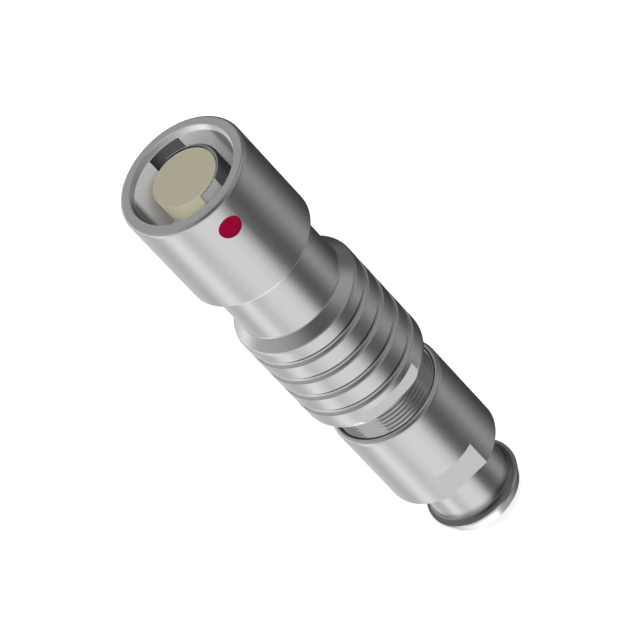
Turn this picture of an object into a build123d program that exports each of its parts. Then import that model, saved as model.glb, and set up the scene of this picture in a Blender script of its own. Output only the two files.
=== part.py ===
from build123d import *
import os

# Cable-mounted socket of a circular push-pull connector, standing on its tail with the mouth up.
# Millimetres. The axis is Z, the alignment dot faces -Y and the half-moon sleeve lies on the +X side.

# Outside, from the tail up
tail_flange_radius = 4.86
tail_flange_thickness = 1.6
tail_flange_land = 0.3
tail_flange_taper = 0.52
tail_spigot_radius = 4.2
tail_spigot_length = 5.75
tail_flare = 0.65
tail_bore_radius = 2.9
tail_bore_edge = 0.3
nut_radius = 5.91
nut_length = 10.7
nut_lip_round = 0.48
nut_lip_bevel = 0.06
nut_flat_distance = 5.41
nut_flat_length = 3.2
thread_showing = 2.9
thread_radius = 5.2
thread_depth = 0.15
thread_length = 7.5
thread_lead_in = 0.25
thread_flat_distance = 4.95
thread_flat_turn = 49.0
grip_radius = 6.5
grip_length = 14.3
grip_back_round = 1.25
grip_shoulder_round = 0.45
grip_flat_distance = 5.47
grip_flat_length = 2.15
groove_count = 4
groove_first = 2.95
groove_pitch = 2.68
groove_depth = 0.36
groove_round = 0.48
neck_radius = 5.39
neck_length = 6.7
neck_fillet = 0.25
barrel_radius = 6.5
barrel_length = 11.6
barrel_front_round = 0.45
barrel_back_round = 0.22
dot_radius = 1.13
dot_from_front = 2.85
dot_thickness = 0.2
dot_sink = 0.08

# Bores of the shell
barrel_wall = 1.04
chamber_depth = 10.4
bore_radius = 4.3
bore_lead_in = 0.3
latch_groove_depth = 0.4

# Pieces in the mouth
sleeve_sink = 0.04
sleeve_land = 0.05
sleeve_wall = 0.29
lead_in_depth = 0.55
window_width = 3.33
window_offset = 0.395
window_length = 4.5
crown_length = 2.8
crown_wall = 0.22
crown_bead = 0.25
crown_base = 0.7
crown_slot_count = 8
crown_slot_width = 0.5
half_moon_wall = 0.34
half_moon_gap = 0.2
half_moon_bevel = 0.2
half_moon_base = 1.0
half_moon_relief = 0.18
half_moon_relief_width = 1.95

# Insert and its contacts
face_sink = 0.45
insulator_radius = 3.2
insulator_tail = 1.5
insulator_flange_thickness = 2.0
back_disc_thickness = 2.0
face_wall = 0.6
contact_count = 4
contact_circle = 1.7
contact_radius = 0.65
contact_bore_radius = 0.45
contact_bore_depth = 6.0
contact_slot_width = 0.2
contact_slot_depth = 4.5
contact_collar_radius = 0.85
contact_collar_length = 0.75
contact_tail_radius = 0.58
contact_tail_length = 2.6
solder_cup_radius = 0.42
solder_cup_depth = 2.0
seal_squeeze = 0.04
seal_play = 0.18
carrier_length = 11.4
carrier_rim = 0.3
carrier_to_flange = 2.9
lock_ring_length = 7.0
lock_ring_bore_radius = 3.3
lock_ring_rim = 0.17
lock_ring_cone_depth = 1.6
lock_ring_slot_width = 1.2
lock_ring_slot_depth = 1.0

# Cable clamp behind the insert
nut_floor_wall = 1.3
nut_pocket_depth = 1.6
nut_pocket_gap = 0.3
washer_thickness = 0.4
gasket_length = 3.7
gasket_bore_radius = 2.7
gasket_rib_depth = 0.25
gasket_rib_count = 3
collet_length = 8.3
collet_bore_radius = 2.8
collet_cone_length = 1.6
collet_tip_radius = 3.4
collet_slot_count = 6
collet_slot_width = 0.5
collet_base = 2.2
collet_tooth_depth = 0.18
collet_tooth_count = 3

# Fits
press_gap = 0.01
seat_gap = 0.03
insert_gap = 0.05
running_gap = 0.1
thread_gap = 0.06
stack_gap = 0.02
touch = 0.001

# Sizes that follow from the walls and the gaps
chamber_radius = barrel_radius - barrel_wall
carrier_radius = bore_radius - seat_gap
lock_ring_cone_radius = carrier_radius - lock_ring_rim
clamp_radius = bore_radius - running_gap
thread_core_radius = thread_radius - thread_depth
nut_bore_radius = thread_radius + thread_gap
nut_pocket_radius = clamp_radius + nut_pocket_gap
seal_section = (bore_radius - insulator_radius) / 2 - seal_squeeze
seal_space = 2 * seal_section + seal_play

# Heights, from the tail up
nut_back = tail_flange_thickness + tail_spigot_length
nut_front = nut_back + nut_length
grip_back = nut_front + thread_showing
grip_front = grip_back + grip_length
barrel_back = grip_front + neck_length
front = barrel_back + barrel_length
thread_end = grip_back - thread_length
shoulder_top = grip_front - (grip_radius - neck_radius)
groove_heights = [grip_front - groove_first - step * groove_pitch for step in range(groove_count)]
chamber_floor = front - chamber_depth
carrier_front = chamber_floor - seal_space
carrier_back = carrier_front - carrier_length
lock_ring_front = carrier_back - stack_gap
lock_ring_back = lock_ring_front - lock_ring_length
nut_floor = nut_back + nut_floor_wall
nut_step = nut_floor + nut_pocket_depth


def turned(*outline, mode=Mode.ADD):
    """Turns an outline of radius and height round the connector's axis."""
    with BuildSketch(Plane.XZ) as profile:
        with BuildLine():
            Polyline(*outline, close=True)
        make_face()
    revolve(profile.sketch, axis=Axis.Z, mode=mode)


def rim(piece, radius, height):
    """The circular edges of a piece at one radius and height."""
    circles = piece.edges().filter_by(GeomType.CIRCLE)
    at_height = circles.filter_by(lambda edge: abs(edge.arc_center.Z - height) < touch)
    return at_height.filter_by(lambda edge: abs(edge.radius - radius) < touch)


def finish(piece, name):
    """Labels a finished piece and writes its STEP file."""
    piece.label = name
    export_step(piece, f"parts/{name}.step")


os.makedirs("parts", exist_ok=True)

# Shell: barrel, neck, grip and rear thread are turned from one bar
grip_back_wall = grip_radius - thread_radius
with BuildPart() as outer_shell:
    turned(
        (0, thread_end),
        (thread_core_radius, thread_end),
        (thread_core_radius, grip_back),
        (grip_radius, grip_back),
        (grip_radius, shoulder_top),
        (neck_radius, grip_front),
        (neck_radius, barrel_back),
        (barrel_radius, barrel_back),
        (barrel_radius, front),
        (0, front),
    )
    fillet(rim(outer_shell, grip_radius, grip_back), min(grip_back_round, grip_back_wall))
    fillet(rim(outer_shell, grip_radius, shoulder_top), grip_shoulder_round)
    fillet(rim(outer_shell, neck_radius, grip_front), neck_fillet)
    fillet(rim(outer_shell, barrel_radius, front), barrel_front_round)
    fillet(rim(outer_shell, barrel_radius, barrel_back), barrel_back_round)
    chamfer(rim(outer_shell, thread_core_radius, thread_end), thread_lead_in)

    # Grip grooves with round bottoms
    with BuildSketch(Plane.XZ):
        with Locations(*[(grip_radius - groove_depth + groove_round, height) for height in groove_heights]):
            Circle(groove_round)
    revolve(axis=Axis.Z, mode=Mode.SUBTRACT)

    # Two spanner flats at the back of the grip, and four flats along the thread
    with Locations((0, 0, grip_back)):
        with PolarLocations(grip_flat_distance, 2, start_angle=90):
            Box(
                grip_radius,
                2 * grip_radius,
                grip_flat_length,
                align=(Align.MIN, Align.CENTER, Align.MIN),
                mode=Mode.SUBTRACT,
            )
    with Locations((0, 0, grip_back)):
        with PolarLocations(thread_flat_distance, 4, start_angle=thread_flat_turn):
            Box(
                thread_radius,
                2 * thread_radius,
                thread_length,
                align=(Align.MIN, Align.CENTER, Align.MAX),
                mode=Mode.SUBTRACT,
            )

    # Bores: a wide chamber in the mouth with the latching groove, and one bore through to the back
    turned(
        (0, thread_end),
        (bore_radius + bore_lead_in, thread_end),
        (bore_radius, thread_end + bore_lead_in),
        (bore_radius, chamber_floor),
        (chamber_radius, chamber_floor),
        (chamber_radius, front),
        (0, front),
        mode=Mode.SUBTRACT,
    )
    window_top = front - lead_in_depth
    window_bottom = window_top - window_length
    turned(
        (0, window_bottom),
        (chamber_radius + latch_groove_depth, window_bottom),
        (chamber_radius + latch_groove_depth, window_top),
        (0, window_top),
        mode=Mode.SUBTRACT,
    )

    # Drilled recess for the alignment dot
    dot_floor = barrel_radius - dot_sink - dot_thickness
    dot_height = front - dot_from_front
    with BuildSketch(Plane.XZ.offset(dot_floor)):
        with Locations((0, dot_height)):
            Circle(dot_radius + press_gap)
    extrude(amount=barrel_radius, mode=Mode.SUBTRACT)
finish(outer_shell.part, "outer_shell")

# Enamel dot, a little below the barrel's surface
with BuildPart() as alignment_dot:
    with BuildSketch(Plane.XZ.offset(dot_floor)):
        with Locations((0, dot_height)):
            Circle(dot_radius)
    extrude(amount=barrel_radius)
    Cylinder(
        barrel_radius - dot_sink,
        front,
        align=(Align.CENTER, Align.CENTER, Align.MIN),
        mode=Mode.INTERSECT,
    )
finish(alignment_dot.part, "alignment_dot")

# Half-moon sleeve: a half-tube that keys the insert, standing on a full base ring
half_moon_inner = insulator_radius + half_moon_gap
half_moon_outer = half_moon_inner + half_moon_wall
half_moon_top = front - face_sink
half_moon_floor = chamber_floor + half_moon_base
with BuildPart() as half_moon_sleeve:
    turned(
        (half_moon_inner, chamber_floor),
        (chamber_radius - seat_gap, chamber_floor),
        (chamber_radius - seat_gap, half_moon_floor),
        (half_moon_outer, half_moon_floor),
        (half_moon_outer, half_moon_top - half_moon_bevel),
        (half_moon_outer - half_moon_bevel, half_moon_top),
        (half_moon_inner, half_moon_top),
    )
    with Locations((0, 0, half_moon_floor)):
        Box(
            barrel_radius,
            2 * barrel_radius,
            chamber_depth,
            align=(Align.MAX, Align.CENTER, Align.MIN),
            mode=Mode.SUBTRACT,
        )
    with BuildSketch(Plane.XY.offset(half_moon_floor)):
        Rectangle(half_moon_relief_width, 2 * half_moon_outer, align=(Align.MIN, Align.CENTER))
        Circle(half_moon_outer - half_moon_relief, mode=Mode.SUBTRACT)
    extrude(amount=chamber_depth, mode=Mode.SUBTRACT)
finish(half_moon_sleeve.part, "half_moon_sleeve")

# Earthing crown: a slotted spring ring whose beads press on the mating plug
crown_outer = chamber_radius - seat_gap
crown_inner = crown_outer - crown_wall
crown_back = half_moon_floor + stack_gap
crown_front = crown_back + crown_length
bead_height = crown_front - crown_wall - crown_bead
with BuildPart() as earthing_crown:
    turned(
        (crown_inner, crown_back),
        (crown_outer, crown_back),
        (crown_outer, crown_front),
        (crown_inner, crown_front),
        (crown_inner, bead_height + crown_bead),
        (crown_inner - crown_bead, bead_height),
        (crown_inner, bead_height - crown_bead),
    )
    with Locations((0, 0, crown_back + crown_base)):
        with PolarLocations(crown_inner, crown_slot_count):
            Box(
                chamber_radius - crown_inner + 2 * crown_bead,
                crown_slot_width,
                crown_length,
                align=(Align.CENTER, Align.CENTER, Align.MIN),
                mode=Mode.SUBTRACT,
            )
finish(earthing_crown.part, "earthing_crown")

# Latch sleeve: pressed in the mouth, with a lead-in cone and two windows over the latching groove
sleeve_outer = chamber_radius - press_gap
sleeve_inner = chamber_radius - press_gap - sleeve_wall
sleeve_back = crown_front + stack_gap
sleeve_front = front - sleeve_sink
with BuildPart() as latch_sleeve:
    turned(
        (sleeve_inner, sleeve_back),
        (sleeve_outer, sleeve_back),
        (sleeve_outer, sleeve_front),
        (sleeve_outer - sleeve_land, sleeve_front),
        (sleeve_inner, front - lead_in_depth),
    )
    with Locations((0, 0, window_bottom)):
        with PolarLocations(sleeve_inner, 2, start_angle=90):
            with Locations((0, -window_offset)):
                Box(
                    sleeve_inner,
                    window_width,
                    window_length,
                    align=(Align.CENTER, Align.CENTER, Align.MIN),
                    mode=Mode.SUBTRACT,
                )
finish(latch_sleeve.part, "latch_sleeve")

# Insulator: a plain-faced rod with a flange that the carrier halves hold
flange_radius = carrier_radius - carrier_rim
flange_front = carrier_front - carrier_to_flange
flange_back = flange_front - insulator_flange_thickness
insulator_face = front - face_sink
insulator_end = flange_back - insulator_tail
cavity_top = insulator_face - face_wall
with BuildPart() as insulator:
    turned(
        (0, insulator_end),
        (insulator_radius, insulator_end),
        (insulator_radius, flange_back),
        (flange_radius - insert_gap, flange_back),
        (flange_radius - insert_gap, flange_front),
        (insulator_radius, flange_front),
        (insulator_radius, insulator_face),
        (0, insulator_face),
    )
    with Locations((0, 0, insulator_end)):
        with PolarLocations(contact_circle, contact_count, start_angle=45):
            Cylinder(
                contact_radius + seat_gap,
                cavity_top - insulator_end,
                align=(Align.CENTER, Align.CENTER, Align.MIN),
                mode=Mode.SUBTRACT,
            )
            Cylinder(
                contact_collar_radius + seat_gap,
                contact_collar_length + stack_gap,
                align=(Align.CENTER, Align.CENTER, Align.MIN),
                mode=Mode.SUBTRACT,
            )
finish(insulator.part, "insulator")

# Back disc: traps the contacts' collars in the insulator
back_disc_front = insulator_end - stack_gap
back_disc_back = back_disc_front - back_disc_thickness
with BuildPart() as insulator_back:
    with BuildSketch(Plane.XY.offset(back_disc_back)):
        Circle(insulator_radius)
        with PolarLocations(contact_circle, contact_count, start_angle=45):
            Circle(contact_tail_radius + seat_gap, mode=Mode.SUBTRACT)
    extrude(amount=back_disc_thickness)
finish(insulator_back.part, "insulator_back")

# Female contacts, each with a slotted front bore, a collar and a solder cup
contact_front = cavity_top - stack_gap
contact_end = back_disc_back - contact_tail_length
contact_places = PolarLocations(contact_circle, contact_count, start_angle=45)
for number, place in enumerate(contact_places, start=1):
    with BuildPart(Plane(place)) as contact:
        with Locations((0, 0, insulator_end)):
            Cylinder(
                contact_radius,
                contact_front - insulator_end,
                align=(Align.CENTER, Align.CENTER, Align.MIN),
            )
            Cylinder(
                contact_collar_radius,
                contact_collar_length,
                align=(Align.CENTER, Align.CENTER, Align.MIN),
            )
        with Locations((0, 0, contact_end)):
            Cylinder(
                contact_tail_radius,
                insulator_end - contact_end,
                align=(Align.CENTER, Align.CENTER, Align.MIN),
            )
            Cylinder(
                solder_cup_radius,
                solder_cup_depth,
                align=(Align.CENTER, Align.CENTER, Align.MIN),
                mode=Mode.SUBTRACT,
            )
            Box(
                contact_radius,
                2 * solder_cup_radius,
                solder_cup_depth / 2,
                align=(Align.MIN, Align.CENTER, Align.MIN),
                mode=Mode.SUBTRACT,
            )
        with Locations((0, 0, contact_front)):
            Cylinder(
                contact_bore_radius,
                contact_bore_depth,
                align=(Align.CENTER, Align.CENTER, Align.MAX),
                mode=Mode.SUBTRACT,
            )
            Box(
                2 * contact_collar_radius,
                contact_slot_width,
                contact_slot_depth,
                align=(Align.CENTER, Align.CENTER, Align.MAX),
                mode=Mode.SUBTRACT,
            )
    finish(contact.part, f"contact_{number}")

# O-ring between the insulator rod and the shell's bore
with BuildPart() as insert_seal:
    with BuildSketch(Plane.XZ):
        with Locations(((bore_radius + insulator_radius) / 2, carrier_front + seal_space / 2)):
            Circle(seal_section)
    revolve(axis=Axis.Z)
finish(insert_seal.part, "insert_seal")

# Split carrier: two half shells that close round the insulator's flange
carrier_bore = insulator_radius + insert_gap
for side, keep in (("left", Keep.BOTTOM), ("right", Keep.TOP)):
    with BuildPart() as carrier:
        turned(
            (carrier_bore, carrier_back),
            (carrier_radius, carrier_back),
            (carrier_radius, carrier_front),
            (carrier_bore, carrier_front),
        )
        turned(
            (0, flange_back - stack_gap),
            (flange_radius, flange_back - stack_gap),
            (flange_radius, flange_front + stack_gap),
            (0, flange_front + stack_gap),
            mode=Mode.SUBTRACT,
        )
        offset_sign = 1 if keep == Keep.TOP else -1
        split(bisect_by=Plane.YZ.offset(offset_sign * stack_gap / 2), keep=keep)
    finish(carrier.part, f"carrier_{side}")

# Lock ring: holds the carrier, and its cone closes the collet
with BuildPart() as carrier_lock_ring:
    turned(
        (lock_ring_cone_radius, lock_ring_back),
        (carrier_radius, lock_ring_back),
        (carrier_radius, lock_ring_front),
        (lock_ring_bore_radius, lock_ring_front),
        (lock_ring_bore_radius, lock_ring_back + lock_ring_cone_depth),
    )
    with Locations((0, 0, lock_ring_back)):
        Box(
            2 * bore_radius,
            lock_ring_slot_width,
            lock_ring_slot_depth,
            align=(Align.CENTER, Align.CENTER, Align.MIN),
            mode=Mode.SUBTRACT,
        )
finish(carrier_lock_ring.part, "carrier_lock_ring")

# Cable clamp: washer, gasket, washer and collet stand in line on the nut's floor
clamp_height = nut_floor + stack_gap
with BuildPart() as gland_washer_rear:
    with BuildSketch(Plane.XY.offset(clamp_height)):
        Circle(clamp_radius)
        Circle(tail_bore_radius, mode=Mode.SUBTRACT)
    extrude(amount=washer_thickness)
finish(gland_washer_rear.part, "gland_washer_rear")

# Silicone gasket with ribs round its outside
gasket_back = clamp_height + washer_thickness + stack_gap
gasket_front = gasket_back + gasket_length
gasket_rib_pitch = gasket_length / gasket_rib_count
gasket_valleys = [gasket_back + valley * gasket_rib_pitch for valley in range(1, gasket_rib_count)]
with BuildPart() as cable_gasket:
    turned(
        (gasket_bore_radius, gasket_back),
        (clamp_radius, gasket_back),
        (clamp_radius, gasket_front),
        (gasket_bore_radius, gasket_front),
    )
    with BuildSketch(Plane.XZ):
        with Locations(*[(clamp_radius, height) for height in gasket_valleys]):
            Circle(gasket_rib_depth)
    revolve(axis=Axis.Z, mode=Mode.SUBTRACT)
finish(cable_gasket.part, "cable_gasket")

washer_front_back = gasket_front + stack_gap
with BuildPart() as gland_washer_front:
    with BuildSketch(Plane.XY.offset(washer_front_back)):
        Circle(clamp_radius)
        Circle(tail_bore_radius, mode=Mode.SUBTRACT)
    extrude(amount=washer_thickness)
finish(gland_washer_front.part, "gland_washer_front")

# Collet: slotted from its tip, with a cone outside and gripping teeth inside
collet_back = washer_front_back + washer_thickness + stack_gap
collet_front = collet_back + collet_length
tooth_pitch = collet_cone_length / collet_tooth_count
with BuildPart() as clamp_collet:
    turned(
        (collet_bore_radius, collet_back),
        (clamp_radius, collet_back),
        (clamp_radius, collet_front - collet_cone_length),
        (collet_tip_radius, collet_front),
        (collet_bore_radius, collet_front),
    )
    for tooth in range(collet_tooth_count):
        tooth_top = collet_front - tooth * tooth_pitch
        turned(
            (0, tooth_top),
            (collet_bore_radius, tooth_top),
            (collet_bore_radius + collet_tooth_depth, tooth_top - tooth_pitch),
            (0, tooth_top - tooth_pitch),
            mode=Mode.SUBTRACT,
        )
    with Locations((0, 0, collet_back + collet_base)):
        with PolarLocations(collet_bore_radius, collet_slot_count):
            Box(
                2 * (clamp_radius - collet_bore_radius) + 1,
                collet_slot_width,
                collet_length,
                align=(Align.CENTER, Align.CENTER, Align.MIN),
                mode=Mode.SUBTRACT,
            )
finish(clamp_collet.part, "clamp_collet")

# Nut and tail: one turned piece, with a tapered flange that a bend relief snaps over
tail_flange_wall = tail_flange_radius - tail_spigot_radius
with BuildPart() as collet_nut:
    turned(
        (0, 0),
        (tail_flange_radius - tail_flange_taper, 0),
        (tail_flange_radius, tail_flange_thickness - tail_flange_land),
        (tail_flange_radius, tail_flange_thickness),
        (tail_spigot_radius, tail_flange_thickness),
        (tail_spigot_radius, nut_back),
        (nut_radius, nut_back),
        (nut_radius, nut_front),
        (0, nut_front),
    )
    fillet(rim(collet_nut, tail_spigot_radius, tail_flange_thickness), min(tail_flare, tail_flange_wall))
    fillet(rim(collet_nut, nut_radius, nut_front), nut_lip_round)
    with Locations((0, 0, nut_back)):
        with PolarLocations(nut_flat_distance, 2, start_angle=90):
            Box(
                nut_radius,
                2 * nut_radius,
                nut_flat_length,
                align=(Align.MIN, Align.CENTER, Align.MIN),
                mode=Mode.SUBTRACT,
            )
    turned(
        (0, 0),
        (tail_bore_radius + tail_bore_edge, 0),
        (tail_bore_radius, tail_bore_edge),
        (tail_bore_radius, nut_floor),
        (nut_pocket_radius, nut_floor),
        (nut_pocket_radius, nut_step),
        (nut_bore_radius, nut_step),
        (nut_bore_radius, nut_front - nut_lip_bevel),
        (nut_bore_radius + nut_lip_bevel, nut_front),
        (0, nut_front),
        mode=Mode.SUBTRACT,
    )
finish(collet_nut.part, "collet_nut")
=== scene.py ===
"""Finish, thread, light and camera for a cable-mounted push-pull connector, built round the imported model."""

import math

import bmesh
import bpy
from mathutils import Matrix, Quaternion, Vector


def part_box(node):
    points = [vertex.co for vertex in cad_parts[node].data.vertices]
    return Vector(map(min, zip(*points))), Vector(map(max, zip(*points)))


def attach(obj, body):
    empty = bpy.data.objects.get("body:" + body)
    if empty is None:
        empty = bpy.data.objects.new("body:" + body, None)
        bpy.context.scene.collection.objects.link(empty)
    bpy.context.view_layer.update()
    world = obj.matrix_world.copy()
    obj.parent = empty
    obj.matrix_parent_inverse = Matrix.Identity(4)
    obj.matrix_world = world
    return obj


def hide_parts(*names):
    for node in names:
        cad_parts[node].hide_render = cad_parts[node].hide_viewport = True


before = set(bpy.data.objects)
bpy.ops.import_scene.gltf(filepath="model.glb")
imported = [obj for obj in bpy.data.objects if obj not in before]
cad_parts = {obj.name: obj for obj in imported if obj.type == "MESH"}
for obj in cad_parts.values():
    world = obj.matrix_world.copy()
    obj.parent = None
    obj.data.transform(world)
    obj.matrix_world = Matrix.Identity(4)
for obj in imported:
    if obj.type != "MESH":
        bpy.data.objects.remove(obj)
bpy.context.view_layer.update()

bl_info = {
    "name": "Push-pull connector finish",
    "version": (1, 0, 0),
    "blender": (4, 5, 0),
    "location": "View3D > Sidebar > Connector",
    "description": "Plating, thread, enamel, insert, clamp and studio of a circular push-pull connector",
    "category": "Object",
}

MM = 0.001

# Sizes read from the frame: the shell's lowest point is its thread's end, its highest the mouth's face
THREAD_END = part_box("outer_shell")[0].z
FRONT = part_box("outer_shell")[1].z
DOT_LOW, DOT_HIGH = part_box("alignment_dot")

# The grip's grooves: the front edge of the first, and the step from one to the next
FIRST_GROOVE = FRONT - 20.78 * MM
GROOVE_PITCH = 2.68 * MM

# The half-moon sleeve's base ring ends this far up, and its ground steps begin just above
BASE_RING_TOP = FRONT - 9.4 * MM

# The thread's ridge is a root flat, a flank, a narrow crest and a flank. Its four rows, in thirds of the
# way, lie at these shares of the pitch
RIDGE = ((0.0, 0.0), (1 / 3, 0.52), (2 / 3, 0.694), (1.0, 0.82))
RIDGE_ROWS = 4.0
THREAD_WALL = 0.15 * MM
LEAD_IN = 0.25 * MM
WELD = 0.0005 * MM
ROUNDING = 0.00001 * MM

# The studio: levels of the cards and of the horizon by degrees from the camera's side, positive to the left
CARDS = (
    (-180, 0.05),
    (-136, 0.06),
    (-112, 0.15),
    (-92, 0.36),
    (-78, 0.46),
    (-64, 0.30),
    (-50, 0.14),
    (-38, 0.11),
    (-23, 0.14),
    (-2, 0.95),
    (20, 1.04),
    (42, 1.02),
    (64, 0.70),
    (86, 1.30),
    (95, 1.15),
    (106, 0.74),
    (116, 0.60),
    (128, 0.66),
    (150, 0.80),
    (180, 0.70),
)
HORIZON = (
    (-180, 0.08),
    (-100, 0.25),
    (-40, 0.20),
    (-14, 0.30),
    (8, 0.75),
    (45, 0.90),
    (90, 1.20),
    (120, 1.50),
    (155, 1.40),
    (180, 0.50),
)
# The room above the horizon, and its patches: direction, inner and outer angle in degrees, level
ROOM_LEVEL = 0.38
PATCHES = (
    ((-0.9, 0.35, 0.3), 20, 60, 0.54),
    ((0.9, 0.35, 0.3), 20, 55, 0.15),
    ((0.0, 0.745, 0.667), 15, 45, 0.48),
    ((0.0, -0.7, 0.7), 12, 38, 0.12),
    ((0.8, -0.1, 0.55), 6, 26, 0.50),
)
# Soft lamps: name, place and power in watts
LAMPS = (
    ("camera_side_softbox", (0.12, -0.6, 0.62), 4.0),
    ("left_softbox", (-0.5, 0.35, 0.62), 2.0),
    ("right_softbox", (0.5, 0.4, 0.62), 2.0),
)
LAMP_SIZE = 0.35
LAMP_TARGET = Vector((0.0, 0.0, 0.03))
FLOOR_RADIUS = 3.0
FLOOR_LIFT = 0.42
SENSOR_WIDTH = 36.0
PICTURE_WIDTH = 640


def linear(code):
    """An sRGB hex colour as linear red, green and blue, with a full alpha."""
    channels = [(code >> shift & 255) / 255 for shift in (16, 8, 0)]
    return (*(c / 12.92 if c <= 0.04045 else ((c + 0.055) / 1.055) ** 2.4 for c in channels), 1.0)


def times(colour, share):
    """A linear colour made darker or paler."""
    return (*(channel * share for channel in colour[:3]), 1.0)


def add(tree, kind, inputs=(), **settings):
    """Adds one node and sets its properties. Its inputs, by name or in order, take values, or are linked
    from sockets or from other nodes' first live outputs."""
    node = tree.nodes.new(kind)
    for name, value in settings.items():
        setattr(node, name, value)
    for key, value in inputs.items() if isinstance(inputs, dict) else enumerate(inputs):
        if isinstance(value, bpy.types.Node):
            value = next(socket for socket in value.outputs if socket.enabled)
        if isinstance(value, bpy.types.NodeSocket):
            tree.links.new(value, node.inputs[key])
        else:
            node.inputs[key].default_value = value
    return node


def new_material(name):
    """An empty node material, and its tree."""
    material = bpy.data.materials.new(name)
    material.use_nodes = True
    material.node_tree.nodes.clear()
    return material, material.node_tree


def finish_nodes(names, material):
    """Gives CAD nodes their material."""
    for name in names:
        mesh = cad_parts[name].data
        mesh.materials.clear()
        mesh.materials.append(material)


def turned_place(tree):
    """Where a point lies on a turned piece: its distance to the side, its radius and its height."""
    place = add(tree, "ShaderNodeTexCoord").outputs["Object"]
    parts = add(tree, "ShaderNodeSeparateXYZ", (place,)).outputs
    flat = add(tree, "ShaderNodeCombineXYZ", (parts["X"], parts["Y"]))
    radius = add(tree, "ShaderNodeVectorMath", (flat,), operation="LENGTH")
    return {"side": parts["X"], "radius": radius, "height": parts["Z"]}


def inside(tree, *bands):
    """1 where each measure lies between its two lengths, and 0 elsewhere."""
    zone = 1.0
    for measure, low, high in bands:
        middle, reach = (low + high) / 2, (high - low) / 2
        band = add(tree, "ShaderNodeMath", (measure, middle, reach), operation="COMPARE")
        zone = add(tree, "ShaderNodeMath", (zone, band), operation="MULTIPLY")
    return zone


def specks(tree, size, detail=2.0, stretch=None):
    """An uneven pattern in the piece's own coordinates with grains of a real size, stretched if asked."""
    place = add(tree, "ShaderNodeTexCoord").outputs["Object"]
    if stretch:
        place = add(tree, "ShaderNodeMapping", {"Vector": place, "Scale": stretch})
    return add(tree, "ShaderNodeTexNoise", {"Vector": place, "Scale": 1 / size, "Detail": detail})


def turning_marks(tree, feed):
    """Fine rings left by the lathe, a feed apart: they follow height on a barrel and radius on a face."""
    place = turned_place(tree)
    along = add(tree, "ShaderNodeMath", (place["radius"], place["height"]), operation="ADD")
    values = {"W": along, "Scale": 1 / feed, "Detail": 2.0}
    return add(tree, "ShaderNodeTexNoise", values, noise_dimensions="1D")


def satin_plate(settings):
    """Satin nickel-chrome plate on turned brass, bead-blasted first, so that its reflections are soft and
    slightly grained. It is darker in deep places, which stands for the shade that the photo has there."""
    material, tree = new_material("satin_chrome_plate_bead_blasted")
    # Blast grain of about 0.05 mm, drawn at 0.12 mm so that it shows; plating leaves cloudy patches of 4 mm
    grain = specks(tree, 0.12 * MM)
    cloud = specks(tree, 4.0 * MM, 3.0)
    place = turned_place(tree)
    radius, height = place["radius"], place["height"]
    # Painted shade on the front walls of the grip's grooves
    behind = add(tree, "ShaderNodeMath", (FIRST_GROOVE, height), operation="SUBTRACT")
    phase = add(tree, "ShaderNodeMath", (behind, GROOVE_PITCH), operation="MODULO")
    walls = (phase, 0.2 * MM, 0.57 * MM), (radius, 6.0 * MM, 6.45 * MM), (height, 22.0 * MM, 33.5 * MM)
    groove_shade = inside(tree, *walls)
    # Painted shade on the front of the tail's flange, fading in over its flare
    fade = add(tree, "ShaderNodeMapRange", (height, 2.95 * MM, 2.0 * MM), interpolation_type="SMOOTHSTEP")
    flange = inside(tree, (height, 1.57 * MM, 3.0 * MM))
    flare = add(tree, "ShaderNodeMath", (fade, flange), operation="MULTIPLY")
    # Painted shade in the nut's bore and on the inside of its lip
    nut_bore_shade = inside(tree, (radius, 4.9 * MM, 5.5 * MM), (height, 13.0 * MM, 18.1 * MM))
    # Painted shade in the latching groove inside the mouth
    latch_groove_shade = inside(tree, (radius, 4.9 * MM, 5.95 * MM), (height, 42.0 * MM, FRONT - 0.05 * MM))
    plate = settings.plate_colour
    clouded = {"Factor": cloud, "A": times(plate, 0.97), "B": plate}
    tint = add(tree, "ShaderNodeMix", clouded, data_type="RGBA")
    # Painted shade: each zone takes the plate at its own share
    for zone, share in ((groove_shade, 0.2), (flare, 0.38), (nut_bore_shade, 0.12), (latch_groove_shade, 0.13)):
        dark = times(plate, share)
        tint = add(tree, "ShaderNodeMix", {"Factor": zone, "A": tint, "B": dark}, data_type="RGBA")
    low, high = settings.roughness - 0.02, settings.roughness + 0.03
    relief = {"Height": grain, "Distance": 0.004 * MM, "Strength": 0.12}
    shader = add(
        tree,
        "ShaderNodeBsdfPrincipled",
        {
            "Base Color": tint,
            "Metallic": 1.0,
            "Roughness": add(tree, "ShaderNodeMapRange", (cloud, 0.0, 1.0, low, high)),
            "Normal": add(tree, "ShaderNodeBump", relief),
        },
    )
    add(tree, "ShaderNodeOutputMaterial", (shader,))
    return material


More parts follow.
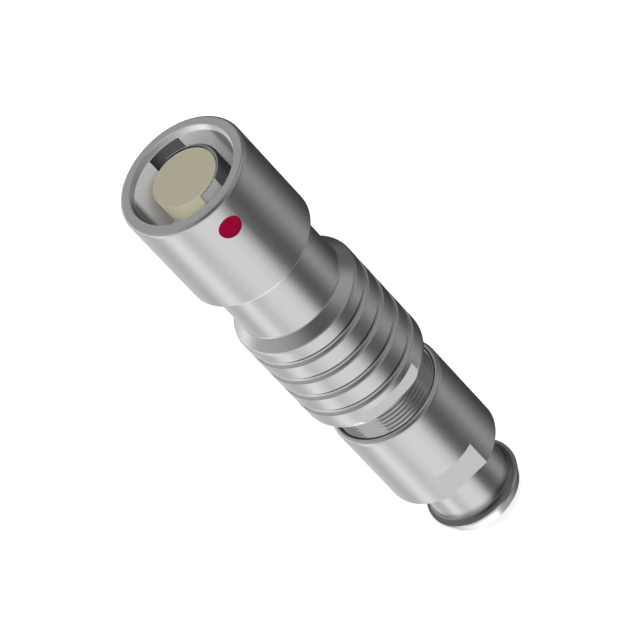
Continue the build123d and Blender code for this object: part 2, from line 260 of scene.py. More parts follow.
def mouth_plate():
    """Nickel plate in the mouth: matt in the bore, burnished on the lead-in cone, and with painted shade on
    either side of the bore."""
    material, tree = new_material("matt_nickel_plate_burnished_at_lead_in")
    place = turned_place(tree)
    cone = (place["radius"], 5.16 * MM, 5.19 * MM)
    cone = add(tree, "ShaderNodeMapRange", cone, interpolation_type="SMOOTHSTEP")
    # Painted shade on either side of the bore, away from its middle
    off_middle = add(tree, "ShaderNodeMath", (place["side"],), operation="ABSOLUTE")
    side_shade = (off_middle, 4.35 * MM, 4.85 * MM)
    side_shade = add(tree, "ShaderNodeMapRange", side_shade, interpolation_type="SMOOTHSTEP")
    # The lathe fed 0.05 mm a turn, and the plate is uneven over 1.5 mm
    rings = turning_marks(tree, 0.05 * MM)
    uneven = {"Factor": specks(tree, 1.5 * MM, 3.0), "A": linear(0xDCDCDE), "B": linear(0xE4E4E6)}
    matt = add(tree, "ShaderNodeMix", uneven, data_type="RGBA")
    # The bore's colour, with the painted shade mixed in
    bore = add(tree, "ShaderNodeMix", {"Factor": side_shade, "A": matt, "B": linear(0x707072)}, data_type="RGBA")
    tint = add(tree, "ShaderNodeMix", {"Factor": cone, "A": bore, "B": linear(0xDCDCDC)}, data_type="RGBA")
    relief = {"Height": rings, "Distance": 0.003 * MM, "Strength": 0.3}
    shader = add(
        tree,
        "ShaderNodeBsdfPrincipled",
        {
            "Base Color": tint,
            "Metallic": add(tree, "ShaderNodeMapRange", (cone, 0.0, 1.0, 0.12, 1.0)),
            "Roughness": add(tree, "ShaderNodeMapRange", (cone, 0.0, 1.0, 0.5, 0.22)),
            "Normal": add(tree, "ShaderNodeBump", relief),
        },
    )
    add(tree, "ShaderNodeOutputMaterial", (shader,))
    return material


def half_moon_plate():
    """Nickel on the half-moon sleeve: dark outside and on its base ring, with a painted highlight in a band on
    its faced end, painted shade on the end's inner edge and in its bore, and painted light on the two ground
    steps, which are matt."""
    material, tree = new_material("dark_nickel_plate_painted_light_and_shade")
    place = turned_place(tree)
    # The lathe fed 0.05 mm a turn, and the plate is uneven over 1.2 mm
    rings = turning_marks(tree, 0.05 * MM)
    uneven = {"Factor": specks(tree, 1.2 * MM, 3.0), "A": linear(0x626264), "B": linear(0x6E6E70)}
    tint = add(tree, "ShaderNodeMix", uneven, data_type="RGBA")
    # Painted highlight in a band on the end, and painted shade on the end's inner edge and in the bore
    for outer, inner, code in ((3.56 * MM, 3.53 * MM, 0xB4B4B4), (3.42 * MM, 3.40 * MM, 0x202020)):
        reach = (place["radius"], outer, inner)
        reach = add(tree, "ShaderNodeMapRange", reach, interpolation_type="SMOOTHSTEP")
        tint = add(tree, "ShaderNodeMix", {"Factor": reach, "A": tint, "B": linear(code)}, data_type="RGBA")
    # Painted light on the two ground steps: paler there, and matt
    ground = 1.0
    for measure, low, high in (
        ("side", 1.95 * MM, 1.92 * MM),
        ("height", BASE_RING_TOP + 0.02 * MM, BASE_RING_TOP + 0.07 * MM),
        ("radius", 3.54 * MM, 3.55 * MM),
    ):
        reach = add(tree, "ShaderNodeMapRange", (place[measure], low, high), interpolation_type="SMOOTHSTEP")
        ground = add(tree, "ShaderNodeMath", (ground, reach), operation="MULTIPLY")
    tint = add(tree, "ShaderNodeMix", {"Factor": ground, "A": tint, "B": linear(0xCCCCCC)}, data_type="RGBA")
    relief = {"Height": rings, "Distance": 0.003 * MM, "Strength": 0.3}
    shader = add(
        tree,
        "ShaderNodeBsdfPrincipled",
        {
            "Base Color": tint,
            "Metallic": add(tree, "ShaderNodeMapRange", (ground, 0.0, 1.0, 1.0, 0.2)),
            "Roughness": add(tree, "ShaderNodeMapRange", (rings, 0.0, 1.0, 0.25, 0.4)),
            "Normal": add(tree, "ShaderNodeBump", relief),
        },
    )
    add(tree, "ShaderNodeOutputMaterial", (shader,))
    return material


def turned_plate(name, first, second, roughness, feed):
    """Plate over turned metal: the lathe's rings show through the thin plate, uneven over 1.5 mm."""
    material, tree = new_material(name)
    rings = turning_marks(tree, feed)
    uneven = {"Factor": specks(tree, 1.5 * MM, 3.0), "A": linear(first), "B": linear(second)}
    low, high = roughness - 0.05, roughness + 0.07
    relief = {"Height": rings, "Distance": 0.003 * MM, "Strength": 0.3}
    shader = add(
        tree,
        "ShaderNodeBsdfPrincipled",
        {
            "Base Color": add(tree, "ShaderNodeMix", uneven, data_type="RGBA"),
            "Metallic": 1.0,
            "Roughness": add(tree, "ShaderNodeMapRange", (rings, 0.0, 1.0, low, high)),
            "Normal": add(tree, "ShaderNodeBump", relief),
        },
    )
    add(tree, "ShaderNodeOutputMaterial", (shader,))
    return material


def machined_plastic(settings):
    """Beige engineering plastic turned from rod: fine rings and a faint mottle of its filler. Its side has
    painted light, paler than its face."""
    material, tree = new_material("peek_plastic_turned_from_rod")
    # The lathe fed 0.06 mm a turn, and the filler shows as specks of 0.3 mm
    rings = turning_marks(tree, 0.06 * MM)
    mottle = specks(tree, 0.3 * MM, 4.0)
    # Painted light on the side, past the face's edge: the beige made paler there
    turned = (turned_place(tree)["radius"], 3.185 * MM, 3.195 * MM)
    turned = add(tree, "ShaderNodeMapRange", turned, interpolation_type="SMOOTHSTEP")
    beige = settings.insulator_colour
    faced = {"Factor": mottle, "A": times(beige, 0.93), "B": times(beige, 1.05)}
    tint = add(tree, "ShaderNodeMix", faced, data_type="RGBA")
    painted_light_side = {"Factor": turned, "A": tint, "B": times(beige, 2.25)}
    tint = add(tree, "ShaderNodeMix", painted_light_side, data_type="RGBA")
    relief = {"Height": rings, "Distance": 0.004 * MM, "Strength": 0.35}
    shader = add(
        tree,
        "ShaderNodeBsdfPrincipled",
        {
            "Base Color": tint,
            "Roughness": add(tree, "ShaderNodeMapRange", (rings, 0.0, 1.0, 0.42, 0.55)),
            "Specular IOR Level": 0.35,
            "Normal": add(tree, "ShaderNodeBump", relief),
        },
    )
    add(tree, "ShaderNodeOutputMaterial", (shader,))
    return material


def moulded_rubber():
    """Black nitrile rubber from a mould: matt, with a dusty grain of 0.08 mm and paler patches of 0.8 mm."""
    material, tree = new_material("nitrile_rubber_moulded")
    grain = specks(tree, 0.08 * MM, 3.0)
    dusty = {"Factor": specks(tree, 0.8 * MM, 3.0), "A": linear(0x17171A), "B": linear(0x2B2B2E)}
    relief = {"Height": grain, "Distance": 0.006 * MM, "Strength": 0.4}
    shader = add(
        tree,
        "ShaderNodeBsdfPrincipled",
        {
            "Base Color": add(tree, "ShaderNodeMix", dusty, data_type="RGBA"),
            "Roughness": add(tree, "ShaderNodeMapRange", (grain, 0.0, 1.0, 0.5, 0.68)),
            "Normal": add(tree, "ShaderNodeBump", relief),
        },
    )
    add(tree, "ShaderNodeOutputMaterial", (shader,))
    return material


def cast_silicone():
    """Red-brown silicone cast in a ground mould: soft gloss with the mould's 0.15 mm grain, a little light
    passes in, and pigment clouds of 1.2 mm."""
    material, tree = new_material("silicone_cast_red_brown")
    grain = specks(tree, 0.15 * MM, 2.0)
    pigment = {"Factor": specks(tree, 1.2 * MM, 4.0), "A": linear(0x7A2F20), "B": linear(0x96432F)}
    relief = {"Height": grain, "Distance": 0.004 * MM, "Strength": 0.3}
    shader = add(
        tree,
        "ShaderNodeBsdfPrincipled",
        {
            "Base Color": add(tree, "ShaderNodeMix", pigment, data_type="RGBA"),
            "Roughness": add(tree, "ShaderNodeMapRange", (grain, 0.0, 1.0, 0.38, 0.5)),
            "Subsurface Weight": 0.15,
            "Subsurface Radius": (1.0, 0.3, 0.2),
            "Subsurface Scale": 0.4 * MM,
            "Normal": add(tree, "ShaderNodeBump", relief),
        },
    )
    add(tree, "ShaderNodeOutputMaterial", (shader,))
    return material


def stamped_steel():
    """Stainless strip, rolled and then stamped: fine straight rolling lines along X, 0.05 mm apart."""
    material, tree = new_material("stainless_strip_stamped")
    lines = specks(tree, 0.05 * MM, 3.0, stretch=(0.03, 1.0, 1.0))
    rolled = {"Factor": lines, "A": linear(0xA9A8A5), "B": linear(0xC4C3C0)}
    relief = {"Height": lines, "Distance": 0.003 * MM, "Strength": 0.25}
    shader = add(
        tree,
        "ShaderNodeBsdfPrincipled",
        {
            "Base Color": add(tree, "ShaderNodeMix", rolled, data_type="RGBA"),
            "Metallic": 1.0,
            "Roughness": add(tree, "ShaderNodeMapRange", (lines, 0.0, 1.0, 0.28, 0.42)),
            "Normal": add(tree, "ShaderNodeBump", relief),
        },
    )
    add(tree, "ShaderNodeOutputMaterial", (shader,))
    return material


def stoved_enamel(settings):
    """Red enamel filled into the drilled recess and stoved: glossy, with an orange-peel skin of 0.35 mm and
    pigment specks of 0.1 mm."""
    material, tree = new_material("red_enamel_stoved")
    peel = specks(tree, 0.35 * MM, 1.0)
    red = settings.dot_colour
    pigment = {"Factor": specks(tree, 0.1 * MM, 3.0), "A": times(red, 0.94), "B": red}
    relief = {"Height": peel, "Distance": 0.01 * MM, "Strength": 0.3}
    shader = add(
        tree,
        "ShaderNodeBsdfPrincipled",
        {
            "Base Color": add(tree, "ShaderNodeMix", pigment, data_type="RGBA"),
            "Roughness": add(tree, "ShaderNodeMapRange", (peel, 0.0, 1.0, 0.3, 0.4)),
            "Specular IOR Level": 0.03,
            "Normal": add(tree, "ShaderNodeBump", relief),
        },
    )
    add(tree, "ShaderNodeOutputMaterial", (shader,))
    return material


class FinishSettings(bpy.types.PropertyGroup):
    """Colours and gloss of the connector's finishes."""

    plate_colour: bpy.props.FloatVectorProperty(
        name="Plate colour",
        description="Colour of the satin nickel-chrome plate",
        default=linear(0xCFCFCF),
        size=4,
        subtype="COLOR",
        min=0.0,
        max=1.0,
    )
    roughness: bpy.props.FloatProperty(
        name="Plate roughness",
        description="How far the blasted plate spreads a reflection",
        default=0.27,
        subtype="FACTOR",
    )
    insulator_colour: bpy.props.FloatVectorProperty(
        name="Insulator colour",
        description="Colour of the insulator's plastic",
        default=linear(0xA39E8A),
        size=4,
        subtype="COLOR",
        min=0.0,
        max=1.0,
    )
    dot_colour: bpy.props.FloatVectorProperty(
        name="Dot colour",
        description="Colour of the alignment dot's enamel",
        default=linear(0x960032),
        size=4,
        subtype="COLOR",
        min=0.0,
        max=1.0,
    )


class ThreadSettings(bpy.types.PropertyGroup):
    """Sizes of the shell's rear thread."""

    pitch: bpy.props.FloatProperty(
        name="Pitch",
        description="Rise of the thread in one turn",
        default=0.5 * MM,
        unit="LENGTH",
    )
    length: bpy.props.FloatProperty(
        name="Length",
        description="Length of the thread from its end up to the grip",
        default=7.5 * MM,
        unit="LENGTH",
    )
    crest_radius: bpy.props.FloatProperty(
        name="Crest radius",
        description="Radius of the thread's crest",
        default=5.2 * MM,
        unit="LENGTH",
    )
    root_radius: bpy.props.FloatProperty(
        name="Root radius",
        description="Radius of the thread's root",
        default=5.054 * MM,
        unit="LENGTH",
    )
    flat_distance: bpy.props.FloatProperty(
        name="Flat distance",
        description="Distance from the axis to each milled flat",
        default=4.954 * MM,
        unit="LENGTH",
    )
    flat_turn: bpy.props.FloatProperty(
        name="Flat turn",
        description="Turn of the first milled flat about the axis",
        default=math.radians(49.0),
        subtype="ANGLE",
    )
    steps: bpy.props.IntProperty(
        name="Steps",
        description="Faces in one turn of the thread",
        default=288,
        min=24,
    )


class DotSettings(bpy.types.PropertyGroup):
    """Shape of the enamel in the alignment dot's recess."""

    meniscus: bpy.props.FloatProperty(
        name="Meniscus",
        description="How far the enamel climbs the recess's wall",
        default=0.05 * MM,
        unit="LENGTH",
    )
    rings: bpy.props.IntProperty(
        name="Rings",
        description="Rings of faces from the dot's centre to its edge",
        default=10,
        min=3,
    )
    steps: bpy.props.IntProperty(
        name="Steps",
        description="Faces round the dot",
        default=64,
        min=12,
    )


class StageSettings(bpy.types.PropertyGroup):
    """Where the camera stands."""

    elevation: bpy.props.FloatProperty(
        name="Camera elevation",
        description="Height of the camera above the horizon",
        default=math.radians(41.8),
        subtype="ANGLE",
    )
    roll: bpy.props.FloatProperty(
        name="Camera roll",
        description="Turn of the picture that lays the connector on its diagonal",
        default=math.radians(43.28),
        subtype="ANGLE",
    )
    distance: bpy.props.FloatProperty(
        name="Camera distance",
        description="From the camera to the point it aims at",
        default=488 * MM,
        unit="LENGTH",
    )
    focal_pixels: bpy.props.FloatProperty(
        name="Focal length in pixels",
        description="Focal length measured in pixels of the 640 pixel wide picture",
        default=5353.0,
    )
    aim_height: bpy.props.FloatProperty(
        name="Aim height",
        description="Height on the connector's axis at the picture's centre",
        default=29.747 * MM,
        unit="LENGTH",
    )
    aim_side: bpy.props.FloatProperty(
        name="Aim side",
        description="Sideways distance of the aimed point from the connector's axis",
        default=0.127 * MM,
        unit="LENGTH",
    )


def thread_tree(material):
    """Geometry nodes for a thread: a grid is rolled into a tube whose rows climb a right-handed helix.
    Four rows make one ridge, flats and a lead-in chamfer limit the radius, and an inner wall closes it."""
    tree = bpy.data.node_groups.new("rear_thread", "GeometryNodeTree")
    tree.interface.new_socket("Geometry", in_out="OUTPUT", socket_type="NodeSocketGeometry")
    for name in ("Pitch", "Start", "Length", "Crest radius", "Root radius", "Inner radius", "Lead-in"):
        tree.interface.new_socket(name, in_out="INPUT", socket_type="NodeSocketFloat")
    for name in ("Flat distance", "Flat turn"):
        tree.interface.new_socket(name, in_out="INPUT", socket_type="NodeSocketFloat")
    tree.interface.new_socket("Steps", in_out="INPUT", socket_type="NodeSocketInt")
    given = add(tree, "NodeGroupInput").outputs
    start, pitch, steps, root = (given[name] for name in ("Start", "Pitch", "Steps", "Root radius"))

    # Rows: one on the inner wall, four for each turn and two turns spare, and two on the inner wall again
    whole = add(tree, "ShaderNodeMath", (given["Length"], pitch), operation="DIVIDE")
    whole = add(tree, "ShaderNodeMath", (whole,), operation="CEIL")
    turns = add(tree, "ShaderNodeMath", (whole, 2.0), operation="ADD")
    outer_rows = add(tree, "ShaderNodeMath", (turns, RIDGE_ROWS), operation="MULTIPLY")
    rows = add(tree, "ShaderNodeMath", (outer_rows, 3.0), operation="ADD")
    columns = add(tree, "ShaderNodeMath", (steps, 1.0), operation="ADD")
    grid = add(tree, "GeometryNodeMeshGrid", {"Vertices X": columns, "Vertices Y": rows})
    index = add(tree, "GeometryNodeInputIndex")
    row = add(tree, "ShaderNodeMath", (index, rows), operation="MODULO")
    row = add(tree, "ShaderNodeMath", (row, 1.0), operation="SUBTRACT")
    # The half keeps the whole number of the column clear of rounding
    column = add(tree, "ShaderNodeMath", (index, 0.5), operation="ADD")
    column = add(tree, "ShaderNodeMath", (column, rows), operation="DIVIDE")
    column = add(tree, "ShaderNodeMath", (column,), operation="FLOOR")
    share = add(tree, "ShaderNodeMath", (column, steps), operation="DIVIDE")

    # A row's corner of its ridge is 0 to 3; the first row lies at -1, so a ridge is added to it first
    corner = add(tree, "ShaderNodeMath", (row, RIDGE_ROWS), operation="ADD")
    corner = add(tree, "ShaderNodeMath", (corner, RIDGE_ROWS), operation="MODULO")
    part = add(tree, "ShaderNodeMath", (corner, RIDGE_ROWS - 1.0), operation="DIVIDE")
    part = add(tree, "ShaderNodeFloatCurve", {"Value": part})
    curve = part.mapping.curves[0]
    for place, value in RIDGE[1:-1]:
        curve.points.new(place, value)
    curve.points[0].location, curve.points[-1].location = RIDGE[0], RIDGE[-1]
    for point in curve.points:
        point.handle_type = "VECTOR"
    part.mapping.update()
    # A row climbs by its turn, its corner's share and its column's share; the tenth is for rounding too
    turn = add(tree, "ShaderNodeMath", (row, 0.1), operation="ADD")
    turn = add(tree, "ShaderNodeMath", (turn, RIDGE_ROWS), operation="DIVIDE")
    turn = add(tree, "ShaderNodeMath", (turn,), operation="FLOOR")
    climb = add(tree, "ShaderNodeMath", (turn, part), operation="ADD")
    climb = add(tree, "ShaderNodeMath", (climb, share), operation="ADD")
    climb = add(tree, "ShaderNodeMath", (climb, 1.0), operation="SUBTRACT")
    end = add(tree, "ShaderNodeMath", (start, given["Length"]), operation="ADD")
    wanted = add(tree, "ShaderNodeMath", (climb, pitch, start), operation="MULTIPLY_ADD")
    height = add(tree, "ShaderNodeMath", (wanted, start), operation="MAXIMUM")
    height = add(tree, "ShaderNodeMath", (height, end), operation="MINIMUM")

    # Rows past either end lie on the root
    on_crest = add(tree, "ShaderNodeMath", (corner, 1.5), operation="GREATER_THAN")
    in_length = add(tree, "ShaderNodeMath", (wanted, height, ROUNDING), operation="COMPARE")
    on_crest = add(tree, "ShaderNodeMath", (on_crest, in_length), operation="MULTIPLY")
    rise = add(tree, "ShaderNodeMath", (given["Crest radius"], root), operation="SUBTRACT")
    radius = add(tree, "ShaderNodeMath", (on_crest, rise, root), operation="MULTIPLY_ADD")

    # The lead-in chamfer and the four flats limit the radius
    above = add(tree, "ShaderNodeMath", (height, start), operation="SUBTRACT")
    chamfered = add(tree, "ShaderNodeMath", (root, given["Lead-in"]), operation="SUBTRACT")
    chamfered = add(tree, "ShaderNodeMath", (chamfered, above), operation="ADD")
    angle = add(tree, "ShaderNodeMath", (share, math.tau), operation="MULTIPLY")
    # The whole turn added here keeps the remainder positive
    off_flat = add(tree, "ShaderNodeMath", (angle, given["Flat turn"]), operation="SUBTRACT")
    off_flat = add(tree, "ShaderNodeMath", (off_flat, math.tau + math.pi / 4), operation="ADD")
    off_flat = add(tree, "ShaderNodeMath", (off_flat, math.pi / 2), operation="MODULO")
    off_flat = add(tree, "ShaderNodeMath", (off_flat, math.pi / 4), operation="SUBTRACT")
    flat = add(tree, "ShaderNodeMath", (off_flat,), operation="COSINE")
    flat = add(tree, "ShaderNodeMath", (given["Flat distance"], flat), operation="DIVIDE")
    limit = add(tree, "ShaderNodeMath", (chamfered, flat), operation="MINIMUM")
    radius = add(tree, "ShaderNodeMath", (radius, limit), operation="MINIMUM")

    # The first row and the last two are the inner wall, and the last closes on the first
    first = add(tree, "ShaderNodeMath", (row, -0.5), operation="LESS_THAN")
    late = add(tree, "ShaderNodeMath", (outer_rows, 0.5), operation="SUBTRACT")
    late = add(tree, "ShaderNodeMath", (row, late), operation="GREATER_THAN")
    last = add(tree, "ShaderNodeMath", (outer_rows, 0.5), operation="ADD")
    last = add(tree, "ShaderNodeMath", (row, last), operation="GREATER_THAN")
    inner = add(tree, "ShaderNodeMath", (first, late), operation="MAXIMUM")
    at_start = add(tree, "ShaderNodeMath", (first, last), operation="MAXIMUM")
    radius = add(tree, "ShaderNodeMix", {"Factor": inner, "A": radius, "B": given["Inner radius"]})
    height = add(tree, "ShaderNodeMix", {"Factor": inner, "A": height, "B": end})
    height = add(tree, "ShaderNodeMix", {"Factor": at_start, "A": height, "B": start})

    across = []
    for operation in ("COSINE", "SINE"):
        swing = add(tree, "ShaderNodeMath", (angle,), operation=operation)
        across.append(add(tree, "ShaderNodeMath", (radius, swing), operation="MULTIPLY"))
    place = add(tree, "ShaderNodeCombineXYZ", (*across, height))
    rolled = add(tree, "GeometryNodeSetPosition", {"Geometry": grid, "Position": place})
    welded = add(tree, "GeometryNodeMergeByDistance", {"Geometry": rolled, "Distance": WELD})
    realised = add(tree, "GeometryNodeRealizeInstances", {"Geometry": welded})
    finished = add(tree, "GeometryNodeSetMaterial", {"Geometry": realised, "Material": material})
    add(tree, "NodeGroupOutput", (finished,))
    return tree


def grown(name, tree, values):
    """Runs a geometry node tree once with named values and returns its plain mesh as an object."""
    seed = bpy.data.objects.new(name, bpy.data.meshes.new(name + "_seed"))
    bpy.context.scene.collection.objects.link(seed)
    modifier = seed.modifiers.new(name, "NODES")
    modifier.node_group = tree
    for item in tree.interface.items_tree:
        if item.in_out == "INPUT":
            modifier[item.identifier] = values[item.name]
    evaluated = seed.evaluated_get(bpy.context.evaluated_depsgraph_get())
    mesh = bpy.data.meshes.new_from_object(evaluated)
    mesh.name = name
    seed.modifiers.remove(modifier)
    seed.data = mesh
    return seed


def shade(piece, angle):
    """Smooth faces, with sharp edges where they meet at more than an angle in degrees."""
    form = bmesh.new()
    form.from_mesh(piece.data)
    bmesh.ops.recalc_face_normals(form, faces=form.faces)
    for face in form.faces:
        face.smooth = True
    for edge in form.edges:
        edge.smooth = not (edge.is_manifold and edge.calc_face_angle() > math.radians(angle))
    form.to_mesh(piece.data)
    form.free()


def enamel_mesh(settings):
    """The enamel as a closed solid: its face follows the barrel and climbs the recess's wall at its rim."""
    middle = (DOT_LOW.z + DOT_HIGH.z) / 2
    radius = (DOT_HIGH.z - DOT_LOW.z) / 2
    floor = DOT_HIGH.y
    face_radius = -DOT_LOW.y
    form = bmesh.new()
    loops = []
    for ring in range(1, settings.rings + 1):
        share = math.sin(math.pi / 2 * ring / settings.rings)
        # The sixth power keeps the face flat until close to the rim
        sink = settings.meniscus * (1 - share**6)
        loop = []
        for step in range(settings.steps):
            angle = math.tau * step / settings.steps
            x, z = radius * share * math.cos(angle), radius * share * math.sin(angle)
            loop.append(form.verts.new((x, sink - math.sqrt(face_radius**2 - x**2), middle + z)))
        loops.append(loop)
    loops.append([form.verts.new((v.co.x, floor, v.co.z)) for v in loops[-1]])
    centre = form.verts.new((0.0, settings.meniscus - face_radius, middle))
    below = form.verts.new((0.0, floor, middle))
    for step in range(settings.steps):
        following = (step + 1) % settings.steps
        form.faces.new((centre, loops[0][step], loops[0][following]))
        form.faces.new((below, loops[-1][following], loops[-1][step]))
        for near, far in zip(loops, loops[1:]):
            form.faces.new((near[step], far[step], far[following], near[following]))
    mesh = bpy.data.meshes.new("enamel_dot")
    form.to_mesh(mesh)
    form.free()
    return mesh


def studio_world():
    """The room that the metal mirrors: a table ringed with cards from dark to white, a horizon that is
    bright on the left, and a grey room that is dark on the camera's side."""
    world = bpy.data.worlds.new("room_with_cards")
    bpy.context.scene.world = world
    world.use_nodes = True
    tree = world.node_tree
    tree.nodes.clear()
    direction = add(tree, "ShaderNodeTexCoord").outputs["Generated"]
    parts = add(tree, "ShaderNodeSeparateXYZ", (direction,)).outputs
    west = add(tree, "ShaderNodeMath", (parts["X"], -1.0), operation="MULTIPLY")
    south = add(tree, "ShaderNodeMath", (parts["Y"], -1.0), operation="MULTIPLY")
    azimuth = add(tree, "ShaderNodeMath", (west, south), operation="ARCTAN2")
    around = add(tree, "ShaderNodeMapRange", (azimuth, -math.pi, math.pi))
    rings = []
    for levels in (CARDS, HORIZON):
        ring = add(tree, "ShaderNodeValToRGB", (around,))
        stops = ring.color_ramp.elements
        shares = [(degrees + 180) / 360 for degrees, level in levels]
        for share in shares[2:]:
            stops.new(share)
        for stop, share, (degrees, level) in zip(stops, shares, levels):
            stop.position = share
            stop.color = (level, level, level, 1.0)
        rings.append(ring)
    table, horizon = rings

    # The table is brighter almost straight below
    below = add(tree, "ShaderNodeMapRange", (parts["Z"], -0.78, -0.93), interpolation_type="SMOOTHSTEP")
    below = add(tree, "ShaderNodeMapRange", (below, 0.0, 1.0, 1.0, 2.1))
    light = add(tree, "ShaderNodeMath", (table, below), operation="MULTIPLY")
    # The horizon takes over from 7 to 1 degrees under the level
    far = add(tree, "ShaderNodeMapRange", (parts["Z"], -0.12, -0.02), interpolation_type="SMOOTHSTEP")
    light = add(tree, "ShaderNodeMix", {"Factor": far, "A": light, "B": horizon})

    # Each patch is full within its inner angle and gone at its outer one
    room = ROOM_LEVEL
    for towards, inner, outer, level in PATCHES:
        towards = Vector(towards).normalized()
        near = add(tree, "ShaderNodeVectorMath", (direction, towards), operation="DOT_PRODUCT")
        limits = math.cos(math.radians(outer)), math.cos(math.radians(inner))
        patch = add(tree, "ShaderNodeMapRange", (near, *limits), interpolation_type="SMOOTHSTEP")
        room = add(tree, "ShaderNodeMix", {"Factor": patch, "A": room, "B": level})
    # The room takes over from 3 to 12 degrees above the level
    overhead = add(tree, "ShaderNodeMapRange", (parts["Z"], 0.06, 0.2), interpolation_type="SMOOTHSTEP")
    light = add(tree, "ShaderNodeMix", {"Factor": overhead, "A": light, "B": room})
    background = add(tree, "ShaderNodeBackground", {"Color": (1.0, 1.0, 1.0, 1.0), "Strength": light})
    add(tree, "ShaderNodeOutputWorld", (background,))


def white_floor():
    """A large white floor. Camera rays get a little extra, so it is white outside the shadow, and the metal
    mirrors the room's cards in its place."""
    mesh = bpy.data.meshes.new("studio_floor")
    form = bmesh.new()
    bmesh.ops.create_circle(form, cap_ends=True, segments=96, radius=FLOOR_RADIUS)
    form.to_mesh(mesh)
    form.free()
    floor = bpy.data.objects.new("studio_floor", mesh)
    bpy.context.scene.collection.objects.link(floor)
    floor.visible_glossy = False
    material, tree = new_material("white_floor_paper")
    path = add(tree, "ShaderNodeLightPath").outputs
    lift = add(tree, "ShaderNodeMath", (path["Is Camera Ray"], FLOOR_LIFT), operation="MULTIPLY")
    shader = add(
        tree,
        "ShaderNodeBsdfPrincipled",
        {
            "Base Color": (0.8, 0.8, 0.8, 1.0),
            "Roughness": 1.0,
            "Specular IOR Level": 0.0,
            "Emission Color": (1.0, 1.0, 1.0, 1.0),
            "Emission Strength": lift,
        },
    )
    add(tree, "ShaderNodeOutputMaterial", (shader,))
    mesh.materials.append(material)


def softbox(name, place, power):
    """One square soft lamp aimed at the connector. It lights the plastic, the enamel and the floor, and the
    metal mirrors the room's cards instead."""
    lamp = bpy.data.lights.new(name, "AREA")
    lamp.shape = "SQUARE"
    lamp.size = LAMP_SIZE
    lamp.energy = power
    holder = bpy.data.objects.new(name, lamp)
    bpy.context.scene.collection.objects.link(holder)
    holder.location = place
    holder.rotation_mode = "QUATERNION"
    holder.rotation_quaternion = (LAMP_TARGET - Vector(place)).to_track_quat("-Z", "Y")
    holder.visible_glossy = False


def photo_camera(settings):
    """The camera, placed and rolled as in the photo."""
    aim = Vector((settings.aim_side, 0.0, settings.aim_height))
    back = Vector((0.0, -math.cos(settings.elevation), math.sin(settings.elevation)))
    data = bpy.data.cameras.new("photo_camera")
    data.sensor_width = SENSOR_WIDTH
    data.lens = settings.focal_pixels / PICTURE_WIDTH * SENSOR_WIDTH
    data.clip_start = 10 * MM
    camera = bpy.data.objects.new("photo_camera", data)
    bpy.context.scene.collection.objects.link(camera)
    camera.location = aim + back * settings.distance
    camera.rotation_mode = "QUATERNION"
    upright = (-back).to_track_quat("-Z", "Y")
    camera.rotation_quaternion = upright @ Quaternion((0, 0, 1), -settings.roll)
    bpy.context.scene.camera = camera


class CONNECTOR_OT_shell(bpy.types.Operator):
    """Plates the shell and grows the thread at its back."""

    bl_idname = "connector.shell"
    bl_label = "Shell and thread"

    def execute(self, context):
        finish_nodes(["outer_shell"], satin_plate(context.scene.connector_finish))
        settings = context.scene.connector_thread
        values = {
            "Pitch": settings.pitch,
            "Start": THREAD_END,
            "Length": settings.length,
            "Crest radius": settings.crest_radius,
            "Root radius": settings.root_radius,
            "Inner radius": settings.root_radius - THREAD_WALL,
            "Lead-in": LEAD_IN,
            "Flat distance": settings.flat_distance,
            "Flat turn": settings.flat_turn,
            "Steps": settings.steps,
        }
        cut = turned_plate("plate_on_die_cut_thread", 0x989898, 0xB0B0B0, 0.3, 0.04 * MM)
        thread = grown("rear_thread", thread_tree(cut), values)
        shade(thread, 25)
        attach(thread, "shell")
        return {"FINISHED"}


class CONNECTOR_OT_dot(bpy.types.Operator):
    """Fills the alignment dot's recess with enamel."""

    bl_idname = "connector.dot"
    bl_label = "Alignment dot"

    def execute(self, context):
        enamel = stoved_enamel(context.scene.connector_finish)
        finish_nodes(["alignment_dot"], enamel)
        mesh = enamel_mesh(context.scene.connector_dot)
        mesh.materials.append(enamel)
        dot = bpy.data.objects.new("enamel_dot", mesh)
        context.scene.collection.objects.link(dot)
        shade(dot, 40)
        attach(dot, "shell")
        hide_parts("alignment_dot")
        return {"FINISHED"}


class CONNECTOR_OT_mouth(bpy.types.Operator):
    """Finishes the latch sleeve, the half-moon sleeve and the earthing crown."""

    bl_idname = "connector.mouth"
    bl_label = "Mouth"

    def execute(self, context):
        finish_nodes(["latch_sleeve"], mouth_plate())
        finish_nodes(["half_moon_sleeve"], half_moon_plate())
        bronze = turned_plate("nickel_plate_on_spring_bronze", 0xBDB7AB, 0xC9C4BA, 0.3, 0.04 * MM)
        finish_nodes(["earthing_crown"], bronze)
        return {"FINISHED"}


class CONNECTOR_OT_insert(bpy.types.Operator):
    """Finishes the insulator, its contacts and seal, and the split carrier that holds them."""

    bl_idname = "connector.insert"
    bl_label = "Insert"

    def execute(self, context):
        finish_nodes(["insulator", "insulator_back"], machined_plastic(context.scene.connector_finish))
        gold = turned_plate("gold_plate_on_turned_brass", 0xD9B560, 0xE4C475, 0.2, 0.03 * MM)
        finish_nodes(["contact_1", "contact_2", "contact_3", "contact_4"], gold)
        finish_nodes(["insert_seal"], moulded_rubber())
        dull = turned_plate("dull_nickel_plate_on_turned_brass", 0xB9B7B1, 0xC4C2BD, 0.32, 0.07 * MM)
        finish_nodes(["carrier_left", "carrier_right", "carrier_lock_ring"], dull)
        return {"FINISHED"}


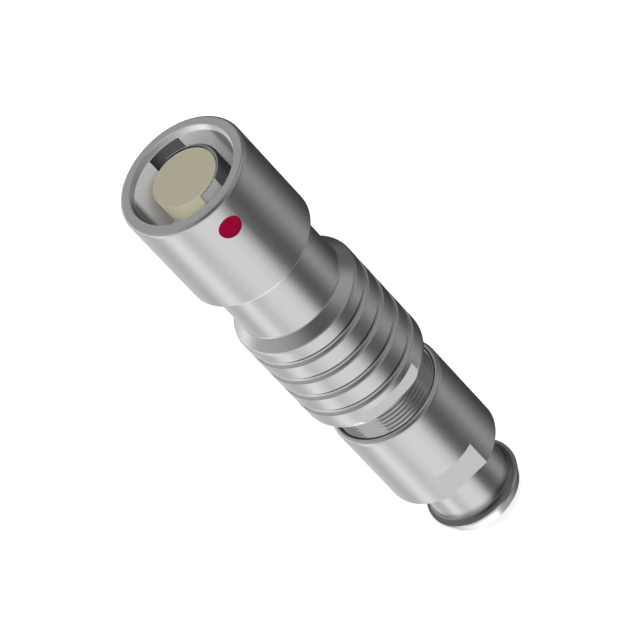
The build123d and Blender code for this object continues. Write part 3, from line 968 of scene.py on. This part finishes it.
class CONNECTOR_OT_clamp(bpy.types.Operator):
    """Finishes the collet, the washers and the gasket that grip the cable."""

    bl_idname = "connector.clamp"
    bl_label = "Cable clamp"

    def execute(self, context):
        collet = turned_plate("nickel_plate_on_turned_collet", 0xBBB9B3, 0xC8C6C1, 0.3, 0.09 * MM)
        finish_nodes(["clamp_collet"], collet)
        finish_nodes(["gland_washer_front", "gland_washer_rear"], stamped_steel())
        finish_nodes(["cable_gasket"], cast_silicone())
        return {"FINISHED"}


class CONNECTOR_OT_nut(bpy.types.Operator):
    """Plates the collet nut and its tail with the shell's own plate."""

    bl_idname = "connector.nut"
    bl_label = "Collet nut"

    def execute(self, context):
        finish_nodes(["collet_nut"], bpy.data.materials["satin_chrome_plate_bead_blasted"])
        return {"FINISHED"}


class CONNECTOR_OT_stage(bpy.types.Operator):
    """Sets the floor, the room, the lamps and the camera."""

    bl_idname = "connector.stage"
    bl_label = "Stage"

    def execute(self, context):
        context.scene.view_settings.view_transform = "Standard"
        studio_world()
        white_floor()
        for name, place, power in LAMPS:
            softbox(name, place, power)
        photo_camera(context.scene.connector_stage)
        # The photo's metal mirrors the open room and not its own neighbours
        for piece in (*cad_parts.values(), bpy.data.objects["rear_thread"]):
            piece.visible_glossy = False
        return {"FINISHED"}


class CONNECTOR_PT_panel(bpy.types.Panel):
    """Lists the connector's operators."""

    bl_label = "Connector"
    bl_idname = "CONNECTOR_PT_panel"
    bl_space_type = "VIEW_3D"
    bl_region_type = "UI"
    bl_category = "Connector"

    def draw(self, context):
        for operator in OPERATORS:
            self.layout.operator(operator.bl_idname)


OPERATORS = (
    CONNECTOR_OT_shell,
    CONNECTOR_OT_dot,
    CONNECTOR_OT_mouth,
    CONNECTOR_OT_insert,
    CONNECTOR_OT_clamp,
    CONNECTOR_OT_nut,
    CONNECTOR_OT_stage,
)
GROUPS = (
    ("connector_finish", FinishSettings),
    ("connector_thread", ThreadSettings),
    ("connector_dot", DotSettings),
    ("connector_stage", StageSettings),
)


def register():
    """Registers the settings, the operators and the panel."""
    for name, group in GROUPS:
        bpy.utils.register_class(group)
        setattr(bpy.types.Scene, name, bpy.props.PointerProperty(type=group))
    for operator in OPERATORS:
        bpy.utils.register_class(operator)
    bpy.utils.register_class(CONNECTOR_PT_panel)


def unregister():
    """Takes the same classes out again."""
    bpy.utils.unregister_class(CONNECTOR_PT_panel)
    for operator in reversed(OPERATORS):
        bpy.utils.unregister_class(operator)
    for name, group in reversed(GROUPS):
        delattr(bpy.types.Scene, name)
        bpy.utils.unregister_class(group)


def main():
    """Builds everything in order."""
    register()
    bpy.ops.connector.shell()
    bpy.ops.connector.dot()
    bpy.ops.connector.mouth()
    bpy.ops.connector.insert()
    bpy.ops.connector.clamp()
    bpy.ops.connector.nut()
    bpy.ops.connector.stage()


if __name__ == "__main__":
    main()
